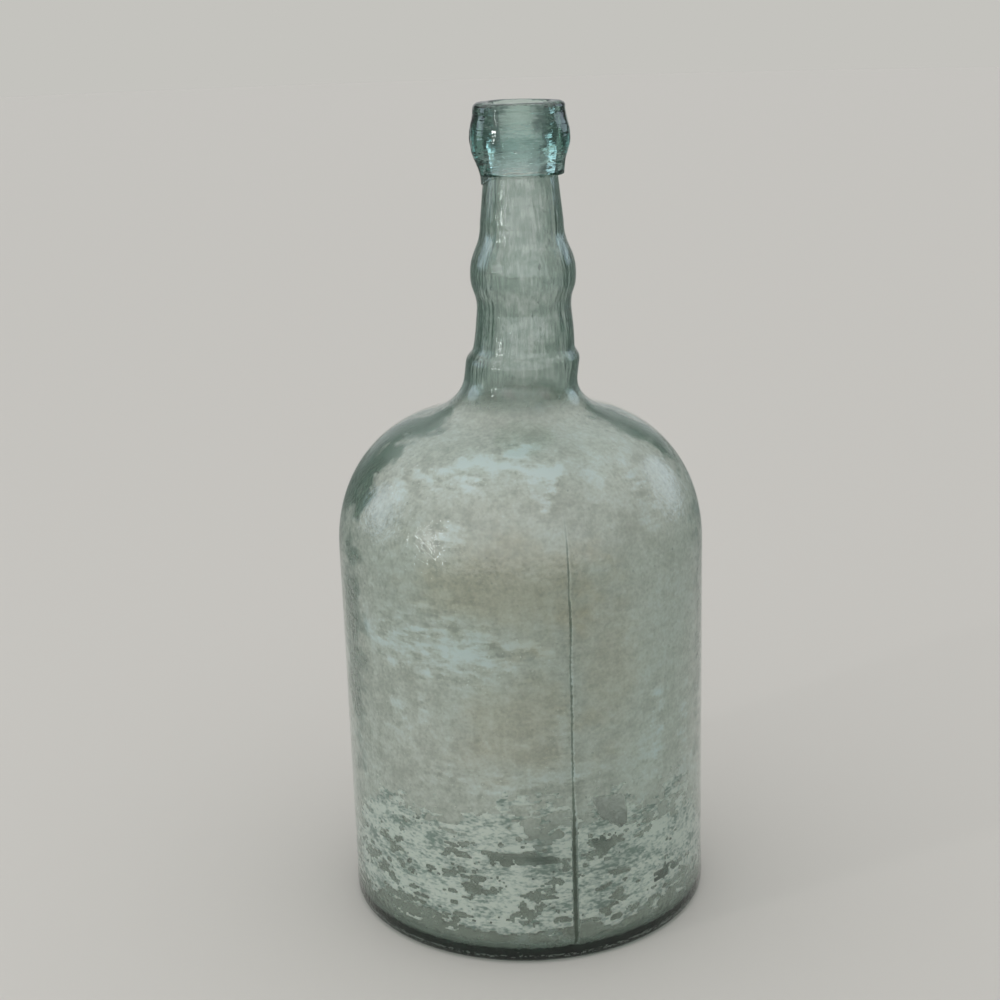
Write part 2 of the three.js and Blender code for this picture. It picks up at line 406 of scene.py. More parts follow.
points = read_points(bottle)
normals = np.empty(points.size)
bottle.data.vertices.foreach_get("normal", normals)
radius = np.hypot(points[:, 0], points[:, 1])
radial = points[:, :2] / np.maximum(radius, MM)[:, None]
is_outside = (normals.reshape(-1, 3)[:, :2] * radial).sum(axis=1) > 0
outer_move = wall_waves(points, False) + neck_waves(points, False)
inner_move = wall_waves(points, True) + neck_waves(points, True)
seam_offset = points[:, 0] * seam_across.x + points[:, 1] * seam_across.y
in_seam = (np.abs(seam_offset) < 1.2 * SEAM_HALF_WIDTH) & is_outside
seam_end = ramp(points[:, 2], SHOULDER_TOP - SEAM_FADE, SIDE_TOP)
ridge = np.where(in_seam, SEAM_HEIGHT, 0) * ramp(points[:, 2], HEEL_RADIUS, 3 * HEEL_RADIUS) * seam_end
points[:, :2] += radial * (np.where(is_outside, outer_move, inner_move) + ridge)[:, None]
points[:, 0] += shift_at(points[:, 2])
write_points(bottle, points)
print("neck stands", NECK_SHIFT, "mm to the right")

# %% [markdown]
# Old glass is full of seeds, the glassmakers' word for small bubbles. A bubble is a hole in the glass, so it is a
# little ball inside the wall whose faces look inwards. Drawn glass stretches its seeds along the neck.

# %% Seeds in the glass
SEED_COUNT = 110
SEED_LEVELS = (24, 352)
SEED_RADII = (0.22, 0.6)
SEED_DEPTH = 1.7
BODY_STRETCH = 1.3
NECK_STRETCH = 3.0

wall_radius = np.array(sorted(((z, r) for r, z in outside if z > HEEL_RADIUS)))
draw = np.random.default_rng(7)
bpy.ops.object.select_all(action="DESELECT")
seeds_mesh = bpy.data.meshes.new("seeds")
seeds = bpy.data.objects.new("seeds", seeds_mesh)
bpy.context.collection.objects.link(seeds)
bpy.context.view_layer.objects.active = seeds
seeds.select_set(True)
bpy.ops.object.mode_set(mode="EDIT")
for _ in range(SEED_COUNT):
    level = draw.uniform(*SEED_LEVELS)
    turn = draw.uniform(0, 2 * math.pi)
    size = draw.uniform(*SEED_RADII)
    stretch = NECK_STRETCH if level > COLLAR_FOOT else BODY_STRETCH
    out = np.interp(level, wall_radius[:, 0], wall_radius[:, 1]) - SEED_DEPTH
    place = Vector((out * math.cos(turn) + float(shift_at(level)), out * math.sin(turn), level)) * MM
    bpy.ops.mesh.primitive_ico_sphere_add(subdivisions=2, radius=size * MM, location=place, scale=(1, 1, stretch))
bpy.ops.mesh.select_all(action="SELECT")
bpy.ops.mesh.flip_normals()
bpy.ops.object.mode_set(mode="OBJECT")
bottle.select_set(True)
bpy.context.view_layer.objects.active = bottle
bpy.ops.object.join()
bpy.ops.object.shade_smooth()
print("bottle with its seeds:", len(bottle.data.polygons), "faces")

# %% [markdown]
# The lip is a second gather of glass, wound hot round the cut end of the neck and squeezed with a tool. It is the
# thickest glass of the bottle, so it is the deepest in colour. It is spun like the body, then pulled about: the skirt
# runs down on the left, ends in a step on the right, and the whole ring is uneven. It sinks a hair into the neck,
# since two glasses that fused have no air between them.

# %% Applied lip
LIP_SEGMENTS = 192
LIP_SKIRT_RADIUS = 20.9
LIP_BULGE_LEVEL = 381
LIP_BULGE_RADIUS = 24.1
LIP_RIM_LEVEL = 395
LIP_RIM_RADIUS = 21.8
MOUTH_TOP = 397.6
MOUTH_RADIUS = 14
MOUTH_ROUNDING = 2.4
NECK_END = 377
NECK_END_STEP = 0.5
STEP_HALF_HEIGHT = 1
SEAT_SINK = 0.05
SLEEVE_SINK = 0.3
SKIRT_ROUNDING = 0.5
SKIRT_HANG = 0.1
# Where the pulls of the two curves over the rim lie, from the mouth's top, the rim and the mouth.
RIM_PULLS = (0.8, 1.6, 0.6)

lip_seat = NECK_CUT - SEAT_SINK
sleeve = NECK_END_RADIUS - SLEEVE_SINK
bore = NECK_END_RADIUS - NECK_WALL
below_top = MOUTH_TOP - RIM_PULLS[0]
crown_edge = (MOUTH_RADIUS + MOUTH_ROUNDING, MOUTH_TOP)
mouth_edge = (MOUTH_RADIUS - NECK_END_STEP, MOUTH_TOP - MOUTH_ROUNDING)
mouth_foot = (mouth_edge[0], NECK_END + STEP_HALF_HEIGHT)
bore_top = (bore, NECK_END - STEP_HALF_HEIGHT)
skirt_low = LIP_FOOT - SKIRT_HANG
skirt_edge = (LIP_SKIRT_RADIUS - SKIRT_ROUNDING, skirt_low)
skirt = (LIP_SKIRT_RADIUS, LIP_FOOT + SKIRT_ROUNDING)
bulge = (LIP_BULGE_RADIUS, LIP_BULGE_LEVEL)
rim = (LIP_RIM_RADIUS, LIP_RIM_LEVEL)
lip_outline = np.vstack([
    [(sleeve, LIP_FOOT)],
    line((sleeve, LIP_FOOT), skirt_edge, 5),
    curve(skirt_edge, (LIP_SKIRT_RADIUS, skirt_low), (LIP_SKIRT_RADIUS, LIP_FOOT), skirt, 4),
    ogee(skirt, bulge, 30),
    ogee(bulge, rim, 26),
    curve(rim, (LIP_RIM_RADIUS, below_top), (LIP_RIM_RADIUS - RIM_PULLS[1], MOUTH_TOP), crown_edge, 12),
    curve(crown_edge, (MOUTH_RADIUS + RIM_PULLS[2], MOUTH_TOP), (mouth_edge[0], below_top), mouth_edge, 10),
    line(mouth_edge, mouth_foot, 22),
    ogee(mouth_foot, bore_top, 6),
    line(bore_top, (bore, lip_seat), 14),
    line((bore, lip_seat), (sleeve, lip_seat), 6),
    line((sleeve, lip_seat), (sleeve, LIP_FOOT), 4),
])
lip = spin_outline("applied_lip_glass", lip_outline, LIP_SEGMENTS)
print("lip:", len(lip.data.polygons), "faces")

# %% Places on the hot lip: left and right, low and outside
DRIP_LENGTH = 4.5
DRIP_THINNING = 2.4
SKIRT_THINNING = 1.5
DRIP_HALF_WIDTH = math.radians(62)
STEP_SIDE = (0.1, 0.75)

points = read_points(lip)
radius = np.hypot(points[:, 0], points[:, 1])
radial = points[:, :2] / radius[:, None]
angle = np.arctan2(points[:, 1], points[:, 0])
height = points[:, 2]
left = ramp(DRIP_HALF_WIDTH - np.abs(np.pi - np.abs(angle)), 0, DRIP_HALF_WIDTH)
right = ramp(np.cos(angle), *STEP_SIDE)
low = ramp(height, LIP_BULGE_LEVEL, LIP_FOOT)
outer = ramp(radius, sleeve + 0.1, sleeve + 2)
hangs = (height < lip_seat - 0.1) | (radius > sleeve + 0.3)
fall = DRIP_LENGTH * left * low * hangs
print("drip falls", round(fall.max(), 1), "mm")

# %% Pull the hot lip about
LUMP_DEPTH = 0.4
SMALL_LUMP_DEPTH = 0.16
FOLD_DEPTH = 0.08
FOLD_SLOPE = 0.12
BORE_WAVE_DEPTH = 0.18
TOP_BAND = 0.6
TOP_SHARE = 0.4
STEP_TILT = 0.7
RIM_DIP = 0.35

lumps = LUMP_DEPTH * swell(points, (12, 12, 9)) + SMALL_LUMP_DEPTH * swell(points + 70, (6, 6, 4))
folds = FOLD_DEPTH * swell(points + 140 + points[:, :1] * (0, 0, FOLD_SLOPE), (16, 16, 2.2))
bore_waves = BORE_WAVE_DEPTH * swell(points + 210, (6, 6, 11)) * ramp(height, lip_seat, lip_seat + 4)
move = np.where(outer > 0, outer * (lumps + folds - LUMP_DEPTH), bore_waves * (radius < bore + 1))
move = move * np.where(height > MOUTH_TOP - TOP_BAND, TOP_SHARE, 1.0)
neck_widening = (TAPER_RADIUS - NECK_END_RADIUS) / (LIP_FOOT - TAPER_LEVEL)
thinning = DRIP_THINNING * left + SKIRT_THINNING * (1 - left) * (1 - right)
move = move - thinning * low * outer + neck_widening * fall
tilt = STEP_TILT * np.cos(angle) * ramp(height, NECK_END - 4, NECK_END) * ramp(height, NECK_END + 6, NECK_END)
points[:, :2] += radial * move[:, None]
points[:, 2] += np.where(outer > 0, 0, tilt) - fall
points[:, 2] -= np.where(height > LIP_RIM_LEVEL, RIM_DIP * (1 + swell(points, (13, 13, 30))), 0)
points[:, 0] += shift_at(height)
write_points(lip, points)
print("lip from", round(points[:, 2].min(), 1), "to", round(points[:, 2].max(), 1), "mm")

# %% [markdown]
# Old aqua glass gets its colour from iron in the sand. The tint is in the thickness, not on the surface, so the
# shader is clear and the colour comes from a Volume Absorption inside: thin walls stay pale and the lip and heel go
# teal. Bumps break up the highlights: slow ripples, on the body the fine pitting of a mould that was not quite clean,
# on the neck fine streaks where it was drawn out, and round the lip the folds of the wound gather. Lamps reach the
# lime through the glass by way of the Shadow Ray switch, which lets their light pass straight on.

# %% Aqua glass
GLASS_IOR = 1.52
GLASS_TINT = "#00a68e"
BOTTLE_DENSITY = 57.0
LIP_DENSITY = 52.0
# Each ripple: size across and length along Z in mm, its depth in mm, and the levels in mm from none to full.
BOTTLE_RIPPLES = ((14, 46, 0.2, 0, 1), (2.4, 2.4, 0.42, 240, 214), (1.5, 16, 0.26, 262, 276))
LIP_RIPPLES = ((7, 12, 0.5, 0, 1), (14, 2.2, 0.6, 0, 1))


def aqua_glass(name, density, ripples):
    """Soda-lime glass: clear and glossy, with faint ripples and a green-blue body colour."""
    material, tree, output = new_material(name)
    place = add_node(tree, "TexCoord").outputs["Object"]
    level = add_node(tree, "SeparateXYZ", {}, {0: place}).outputs["Z"]
    normal = {}
    for across_mm, along_mm, depth_mm, none_mm, full_mm in ripples:
        mapped = add_node(tree, "Mapping", {}, {"Vector": place, "Scale": (1, 1, across_mm / along_mm)})
        cells = add_node(tree, "TexNoise", {}, {"Vector": mapped, "Scale": 1 / (across_mm * MM), "Detail": 2.0})
        share = add_node(tree, "MapRange", {},
                         {"Value": level, "From Min": none_mm * MM, "From Max": full_mm * MM})
        relief = add_node(tree, "Math", TIMES, {0: cells, 1: share})
        bump = add_node(tree, "Bump", {},
                        {"Height": relief, "Strength": 1.0, "Distance": depth_mm * MM, **normal})
        normal = {"Normal": bump}
    glass = add_node(tree, "BsdfPrincipled", {},
                     {"Base Color": paint("#ffffff"), "Roughness": 0.0, "IOR": GLASS_IOR,
                      "Transmission Weight": 1.0, **normal})
    clear = add_node(tree, "BsdfTransparent", {}, {"Color": paint("#ffffff")})
    shadow = add_node(tree, "LightPath").outputs["Is Shadow Ray"]
    surface = add_node(tree, "MixShader", {}, {0: shadow, 1: glass, 2: clear})
    body = add_node(tree, "VolumeAbsorption", {}, {"Color": paint(GLASS_TINT), "Density": density})
    tree.links.new(surface.outputs[0], output.inputs["Surface"])
    tree.links.new(body.outputs[0], output.inputs["Volume"])
    return material


bottle.data.materials.append(aqua_glass("mould_blown_aqua_glass", BOTTLE_DENSITY, BOTTLE_RIPPLES))
lip.data.materials.append(aqua_glass("hand_tooled_aqua_glass", LIP_DENSITY, LIP_RIPPLES))
print("glass materials:", [m.name for m in (*bottle.data.materials, *lip.data.materials)])

# %% [markdown]
# Hard water and old wine leave lime on the inside: a thin haze that dried in clouds and runs, and that goes on up
# the neck. It is a skin of its own, given a thickness with Solidify. It follows the waves of the wall and sinks a
# hair into it, because lime that clings to glass has no air behind it. So it shows right out to the bottle's edge.

# %% Lime haze on the wall
FILM_SEGMENTS = 240
FILM_SINK = 0.12
FILM_THICKNESS = 0.3
FILM_FLOOR_RADIUS = 58
FILM_TOP = 364
FILM_SIDE_STEPS = 72
FILM_DOME_STEPS = 32


def thicken(piece, depth):
    """Gives a skin this depth in millimetres, on its inner side."""
    thickness = piece.modifiers.new("thickness", "SOLIDIFY")
    thickness.thickness = depth * MM
    thickness.offset = -1
    bpy.ops.object.modifier_apply(modifier="thickness")
    print(piece.name + ":", len(piece.data.polygons), "faces")


film_floor = floor_outline(FILM_SINK)
film_shoulder = shoulder_outline(BODY_WALL - FILM_SINK, HEEL_WALL + HEEL_INNER_RADIUS, FILM_SIDE_STEPS,
                                 FILM_DOME_STEPS)
film_neck = neck_outline(NECK_WALL - FILM_SINK, film_shoulder[-1], NECK_CUT)
film_outline = np.vstack([
    film_floor[film_floor[:, 0] > FILM_FLOOR_RADIUS],
    film_shoulder,
    film_neck[film_neck[:, 1] < FILM_TOP],
])
film = spin_outline("lime_haze", film_outline, FILM_SEGMENTS)
thicken(film, FILM_THICKNESS)
film_points = read_points(film)

# %% [markdown]
# How thick the lime is at each point is kept as an attribute of the mesh, so that clouds, splashes and bare places
# can be put where the bottle has them; the white patches high on the front of the shoulder are partly painted
# highlight, for pale reflections of the sky there. A second attribute holds the warm stain of the wine, a third the
# places that lost most of their lime and are painted dark green, which at the shoulder edges and down each side is
# painted shade, a fourth the dregs below the tide line, and a fifth how deep a point lies inside the one place where
# a flake came off clean and left a window.

# %% Where the lime lies thick and thin
# Each patch: degrees to the right of the front, height, half width and half height in mm, and how much it adds.
LIME_AND_SHEEN_PATCHES = (
    # The patches high on the front of the shoulder, near 230 to 238 mm, are partly painted highlight: they stand in
    # for pale reflections of the sky there as well as for lime.
    (4, 238, 18, 9, 0.34),
    (8, 229, 9, 10, 0.3),
    (-20, 237, 24, 8, 0.34),
    (-44, 230, 24, 10, 0.2),
    (40, 236, 40, 10, 0.14),
    (-24, 210, 16, 11, 0.26),
    (-25, 158, 46, 22, 0.3),
    (-43, 120, 6, 20, 0.16),
    (-33, 124, 5, 16, 0.14),
    (10, 118, 10, 14, 0.16),
    (44, 112, 10, 24, 0.2),
    (60, 105, 9, 34, 0.2),
    (46, 214, 9, 16, 0.16),
    (0, 94, 70, 10, 0.16),
    (150, 170, 60, 40, 0.22),
    (-156, 208, 34, 14, 0.36),
    (105, 205, 36, 20, 0.28),
    (-100, 140, 6, 60, 0.24),
    (172, 225, 24, 9, 0.4),
)
STAIN_PATCHES = (
    (-4, 190, 50, 28, 0.6),
    (-2, 122, 30, 30, 0.45),
    (26, 150, 20, 46, 0.35),
    (170, 180, 50, 30, 0.55),
    (-120, 110, 30, 30, 0.4),
)
# Places where the haze is thin and painted dark green. At the shoulder edges that green is painted shade for the dark
# rim of the glass, and low down it darkens the gaps in the scale.
BARE_AND_SHADED_PLACES = (
    (-78, 245, 36, 13, 0.85),
    (-84, 222, 40, 22, 0.75),
    (-132, 226, 38, 22, 0.75),
    (78, 245, 28, 12, 0.8),
    (86, 230, 28, 14, 0.5),
    (132, 228, 32, 18, 0.65),
    # These two run down the left and right sides: painted shade that darkens both sides.
    (-68, 140, 18, 80, 0.52),
    (76, 140, 16, 80, 0.48),
    (-3, 55, 22, 5, 0.55),
    (-36, 68, 4, 6, 0.6),
    (23, 59, 8, 7, 0.45),
    (50, 30, 16, 5, 0.6),
    (90, 45, 20, 12, 0.5),
    (-110, 40, 20, 8, 0.6),
    (140, 28, 18, 6, 0.6),
)


# %% Adding up the patches


def round_wall(points, turn):
    """How far each point lies round the wall from a turn in degrees to the right of the front, in millimetres."""
    angle = np.degrees(np.arctan2(points[:, 0], -points[:, 1]))
    return np.radians((angle - turn + 180) % 360 - 180) * (BODY_RADIUS - BODY_WALL)


def patch_sum(points, patches):
    """The sum of the patches at each point, with edges broken up by noise."""
    ragged = swell(points, (15, 15, 11)) + 0.6 * swell(points + 40, (5, 5, 4))
    total = np.zeros(len(points))
    for turn, level, half_width, half_height, amount in patches:
        reach = np.hypot(round_wall(points, turn) / half_width, (points[:, 2] - level) / half_height)
        total += amount * ramp(reach + 0.5 * ragged, 1.25, 0.3)
    return total


# %% The clean window and the tide line
# The window's corners: degrees to the right of the front and height in mm.
CLEAN_WINDOW = ((19.6, 83.6), (31.1, 81.8), (32.5, 66.5), (30.2, 63.9), (22.7, 72.2))
WINDOW_REACH = 6.0
TIDE_BEHIND = 56
TIDE_RISE = 40
TIDE_WAVES = 6
DREGS_START = 14
DREGS_FULL = 44


def window_depth(points):
    """How far each point lies inside the clean window, in millimetres; less than nothing is outside it."""
    corners = np.array([(np.radians(turn) * (BODY_RADIUS - BODY_WALL), level) for turn, level in CLEAN_WINDOW])
    spots = np.stack([round_wall(points, 0), points[:, 2]], axis=1)
    depth = np.full(len(points), WINDOW_REACH)
    for start, end in zip(corners, np.roll(corners, -1, axis=0)):
        edge = (end - start) / np.linalg.norm(end - start)
        away = spots - start
        depth = np.minimum(depth, edge[1] * away[:, 0] - edge[0] * away[:, 1])
    return np.maximum(depth, -WINDOW_REACH)


def tide_level(points):
    """The height of the last tide line round the bottle, in millimetres: it stood tilted, higher in front."""
    frontness = -points[:, 1] / np.hypot(points[:, 0], points[:, 1])
    return TIDE_BEHIND + TIDE_RISE * ramp(frontness, 0, 0.75) + TIDE_WAVES * swell(points, (30, 30, 60))


film_tide = tide_level(film_points)
film_values = {
    "lime": patch_sum(film_points, LIME_AND_SHEEN_PATCHES),
    "stain": patch_sum(film_points, STAIN_PATCHES),
    "bare_and_shaded": patch_sum(film_points, BARE_AND_SHADED_PLACES),
    "dregs": ramp(film_points[:, 2], film_tide - DREGS_START, film_tide - DREGS_FULL),
    "clean": window_depth(film_points),
}
for name, values in film_values.items():
    film.data.attributes.new(name, "FLOAT", "POINT").data.foreach_set("value", values)
    print(name, "from", round(values.min(), 2), "to", round(values.max(), 2))

# %% Bed the haze in the wavy wall
film_radial = film_points[:, :2] / np.hypot(film_points[:, 0], film_points[:, 1])[:, None]
film_move = wall_waves(film_points, True) + neck_waves(film_points, True)
film_points[:, :2] += film_radial * film_move[:, None]
film_points[:, 0] += shift_at(film_points[:, 2])
write_points(film, film_points)
print("haze moved by up to", round(np.abs(film_move).max(), 2), "mm")

# %% [markdown]
# The haze is matt and pale, and thin enough to see through in places. How much it covers is noise at several sizes:
# clouds of a few centimetres, upright runs, wipe marks and specks where the lime is thick, and a grain of a
# millimetre or two. A noise lies round a half, so half of what the noises add is taken off at the start. Below the
# tide line the haze lies in level layers.

# %% Noises of the haze
# Each noise: the size of its cells in mm, their stretch along Z, and the detail.
HAZE_NOISES = {
    "clouds": (26, 0.8, 8.0),
    "runs": (6, 8.0, 4.0),
    "blotches": (5, 0.8, 6.0),
    "grain": (1.7, 1.0, 3.0),
    "tears": (9, 0.7, 8.0),
    "wipes": (13, 0.32, 8.0),
    "specks": (1.1, 1.0, 2.0),
    "layers": (11, 0.35, 6.0),
    "seam": (9, 3.0, 3.0),
    "window": (3, 1.0, 2.0),
    "neck streaks": (1.4, 14.0, 3.0),
    "neck blotches": (5, 1.0, 5.0),
    "bare edges": (9, 0.5, 8.0),
}

haze, tree, haze_output = new_material("dried_lime_haze")
place = add_node(tree, "TexCoord").outputs["Object"]
level = add_node(tree, "SeparateXYZ", {}, {0: place}).outputs["Z"]
kept = {name: add_node(tree, "Attribute", {"attribute_name": name}).outputs["Fac"] for name in film_values}
cells = {}
for name, (size_mm, stretch, detail) in HAZE_NOISES.items():
    mapped = add_node(tree, "Mapping", {}, {"Vector": place, "Scale": (1, 1, 1 / stretch)})
    cells[name] = add_node(tree, "TexNoise", {}, {"Vector": mapped, "Scale": 1 / (size_mm * MM), "Detail": detail})
print("haze noises:", ", ".join(cells))

# %% How much the haze covers
HAZE_COVER = 0.56
COVER_AMOUNTS = {"clouds": 0.5, "runs": 0.22, "blotches": 0.5, "grain": 0.5}
THICKEST_LIME = 0.42
TEAR_AMOUNT = 0.9
WIPE_AMOUNT = 0.288
SPECK_AMOUNT = 0.5
LAYER_AMOUNT = 0.55

lime = add_node(tree, "Math", SMALLER, {0: kept["lime"], 1: THICKEST_LIME})
torn = add_node(tree, "Math", TIMES_PLUS, {0: cells["tears"], 1: TEAR_AMOUNT, 2: lime})
torn = add_node(tree, "MapRange", SMOOTH, {"Value": torn, "From Min": 0.53, "From Max": 0.71})
start = HAZE_COVER - sum(COVER_AMOUNTS.values()) / 2
cover = add_node(tree, "Math", TIMES_PLUS, {0: lime, 1: torn, 2: start})
for name, amount in COVER_AMOUNTS.items():
    cover = add_node(tree, "Math", TIMES_PLUS, {0: cells[name], 1: amount, 2: cover})
wipes = add_node(tree, "MapRange", SMOOTH, {"Value": cells["wipes"], "From Min": 0.36, "From Max": 0.64,
                                            "To Min": -WIPE_AMOUNT, "To Max": WIPE_AMOUNT})
wiped = add_node(tree, "MapRange", SMOOTH, {"Value": lime, "From Max": 0.3, "To Min": 0.12, "To Max": 0.9})
specks = add_node(tree, "MapRange", SMOOTH, {"Value": cells["specks"], "From Min": 0.65, "From Max": 0.73,
                                             "To Max": SPECK_AMOUNT})
specked = add_node(tree, "MapRange", SMOOTH, {"Value": lime, "From Min": 0.02, "From Max": 0.3, "To Min": 0.25})
layers = add_node(tree, "MapRange", {}, {"Value": cells["layers"], "To Min": -LAYER_AMOUNT, "To Max": LAYER_AMOUNT})
for marks, where in ((wipes, wiped), (specks, specked), (layers, kept["dregs"])):
    cover = add_node(tree, "Math", TIMES_PLUS, {0: marks, 1: where, 2: cover})
print("even haze covers", HAZE_COVER)

# %% [markdown]
# A dark line is painted along the seams, as painted shade for the dark line that the raised seam bends into view,
# with a paler edge beside it on one side. The line is found by the distance from the seam's plane, a little wavy, and
# it is wider near the bottom.

# %% Painted shade line along the seams
SEAM_WOBBLE = 0.4 * MM
SEAM_LINE = (0.25 * MM, 0.5 * MM)
SEAM_WIDENS = (0.09, 0.05)
SEAM_STARTS = (0.224, 0.196)
SEAM_PALE_EDGE = 0.22

across = add_node(tree, "VectorMath", {"operation": "DOT_PRODUCT"}, {0: place, 1: seam_across}).outputs["Value"]
wobble = add_node(tree, "MapRange", {}, {"Value": cells["seam"], "To Min": -SEAM_WOBBLE, "To Max": SEAM_WOBBLE})
across = add_node(tree, "Math", PLUS, {0: across, 1: wobble})
width = add_node(tree, "MapRange", SMOOTH, {"Value": level, "From Min": SEAM_WIDENS[0], "From Max": SEAM_WIDENS[1],
                                            "To Min": SEAM_LINE[0], "To Max": SEAM_LINE[1]})
seam = add_node(tree, "Math", {"operation": "DIVIDE"}, {0: across, 1: width})
has_seam = add_node(tree, "MapRange", SMOOTH,
                    {"Value": level, "From Min": SEAM_STARTS[0], "From Max": SEAM_STARTS[1]})
off_seam = add_node(tree, "Math", WITHOUT_SIGN, {0: seam})
# The dark line on the seam: painted shade for the dark line that the raised seam bends into view.
seam_shade_line = add_node(tree, "MapRange", SMOOTH, {"Value": off_seam, "From Min": 1.5, "From Max": 0.9})
seam_shade_line = add_node(tree, "Math", TIMES, {0: seam_shade_line, 1: has_seam})
edge_near = add_node(tree, "MapRange", SMOOTH, {"Value": seam, "From Min": 1.2, "From Max": 1.7})
edge_far = add_node(tree, "MapRange", SMOOTH,
                    {"Value": seam, "From Min": 3.4, "From Max": 2.2, "To Max": SEAM_PALE_EDGE})
beside = add_node(tree, "Math", TIMES, {0: edge_near, 1: edge_far})
cover = add_node(tree, "Math", TIMES_PLUS, {0: beside, 1: has_seam, 2: cover})
print("seam line", SEAM_LINE[0] / MM, "to", SEAM_LINE[1] / MM, "mm to each side")

# %% [markdown]
# Where the cover is low the haze is more transparent, and where it is high the lime shows its own off-white. Some
# places hold less of it: the neck, where only thin streaks stayed, the wall below the tide line, where the scale took
# its place, the bare places, and the clean window, which lost most of it. The bare places are also painted dark
# green:
# at the shoulder edges and down each side that is painted shade, and low down it darkens the gaps in the scale.

# %% Where the haze is thin
NECK_STARTS = (0.252, 0.263)
NECK_STREAK_SHARE = 0.9
NECK_HOLDS = (0.02, 0.46)
BARE_RAGGEDNESS = 0.7
WINDOW_RAGGEDNESS = 2.0
HAZE_OPACITY = (0.4, 0.94)
SEAM_SHADE_OPACITY = 0.8
# How much of the haze is lost below the tide line, in the bare and painted-shade places and in the clean window.
TIDE_LOSS, BARE_AND_SHADE_LOSS, WINDOW_LOSS = 0.45, 0.5, 0.74

neck = add_node(tree, "MapRange", SMOOTH, {"Value": level, "From Min": NECK_STARTS[0], "From Max": NECK_STARTS[1]})
neck_loss = add_node(tree, "Math", TIMES_PLUS,
                     {0: cells["neck streaks"], 1: NECK_STREAK_SHARE, 2: cells["neck blotches"]})
neck_loss = add_node(tree, "MapRange", SMOOTH, {"Value": neck_loss, "From Min": 0.6, "From Max": 1.3,
                                                "To Min": NECK_HOLDS[0] - 1, "To Max": NECK_HOLDS[1] - 1})
bare_and_shaded = add_node(tree, "Math", TIMES_PLUS, {0: cells["bare edges"], 1: BARE_RAGGEDNESS, 2: kept["bare_and_shaded"]})
bare_and_shaded = add_node(tree, "MapRange", SMOOTH, {"Value": bare_and_shaded, "From Min": 0.45, "From Max": 1.15})
window = add_node(tree, "Math", TIMES_PLUS, {0: cells["window"], 1: WINDOW_RAGGEDNESS, 2: kept["clean"]})
window = add_node(tree, "MapRange", SMOOTH, {"Value": window, "From Min": 0.8, "From Max": 1.2})
held = add_node(tree, "Math", TIMES_PLUS, {0: neck, 1: neck_loss, 2: 1.0})
for where, loss in ((kept["dregs"], TIDE_LOSS), (bare_and_shaded, BARE_AND_SHADE_LOSS), (window, WINDOW_LOSS)):
    rest = add_node(tree, "Math", TIMES_PLUS, {0: where, 1: -loss, 2: 1.0})
    held = add_node(tree, "Math", TIMES, {0: held, 1: rest})
opacity = add_node(tree, "MapRange", SMOOTH, {"Value": cover, "From Min": 0.1, "From Max": 1.0,
                                              "To Min": HAZE_OPACITY[0], "To Max": HAZE_OPACITY[1]})
opacity = add_node(tree, "Math", TIMES, {0: opacity, 1: held})
# On the seam the haze is made nearly opaque, so that its painted shade shows.
seam_shade_opacity = add_node(tree, "Math", TIMES, {0: seam_shade_line, 1: SEAM_SHADE_OPACITY})
opacity = add_node(tree, "Math", LARGER, {0: opacity, 1: seam_shade_opacity})
print("haze is", HAZE_OPACITY[0], "to", HAZE_OPACITY[1], "opaque where nothing is lost")

# %% Colours of the dried lime haze
HAZE_ROUGHNESS = 0.9
HAZE_SPECULAR = 0.2
DREGS_AMOUNT = 0.7
DREGS_LEVELS = (0.018, 0.008)

tone = add_node(tree, "ValToRGB", {}, {0: cover})
tone.color_ramp.elements[0].position = 0.22
tone.color_ramp.elements[0].color = paint("#c8c3b8")
tone.color_ramp.elements[1].position = 1.0
tone.color_ramp.elements[1].color = paint("#ffffff")
tone.color_ramp.elements.new(0.6).color = paint("#f2ece3")
low_dregs = add_node(tree, "MapRange", SMOOTH, {"Value": level, "From Min": DREGS_LEVELS[0],
                                                "From Max": DREGS_LEVELS[1], "To Max": DREGS_AMOUNT})
tide_dregs = add_node(tree, "Math", TIMES, {0: kept["dregs"], 1: DREGS_AMOUNT})
dregs = add_node(tree, "Math", LARGER, {0: tide_dregs, 1: low_dregs})
shade = tone.outputs["Color"]
# The dark green of the bare places is painted shade at the shoulder edges and down each side.
for amount, colour in ((kept["stain"], "#f4e8d8"), (bare_and_shaded, "#6f897e"), (dregs, "#8f9b90"), (neck, "#7e958a"),
                       # The dark grey-green on the seam is painted shade.
                       (seam_shade_line, "#8d978f")):
    shade = add_node(tree, "Mix", {"data_type": "RGBA", "blend_type": "MULTIPLY"},
                     {"Factor": amount, "A": shade, "B": paint(colour)}).outputs["Result"]
skin = add_node(tree, "BsdfPrincipled", {}, {"Base Color": shade, "Alpha": opacity, "Roughness": HAZE_ROUGHNESS,
                                             "Specular IOR Level": HAZE_SPECULAR})
tree.links.new(skin.outputs[0], haze_output.inputs["Surface"])
film.data.materials.append(haze)
print("haze material:", haze.name)

# %% [markdown]
# Below the last tide line the lime is thick enough to flake. The scale is real geometry: a fine cylinder is spun, the
# faces where the lime has fallen away are selected by noise and deleted, the ragged edge is smoothed a little, and
# Solidify gives the flakes that are left their thickness. The flakes lie a hair deeper in the glass than the haze, so
# that they show in front of it.

# %% Flaky scale below the tide line
SCALE_SEGMENTS = 560
SCALE_STEPS = 84
SCALE_SINK = 0.2
SCALE_FOOT = HEEL_WALL + HEEL_INNER_RADIUS + 0.3
SCALE_TOP = 96

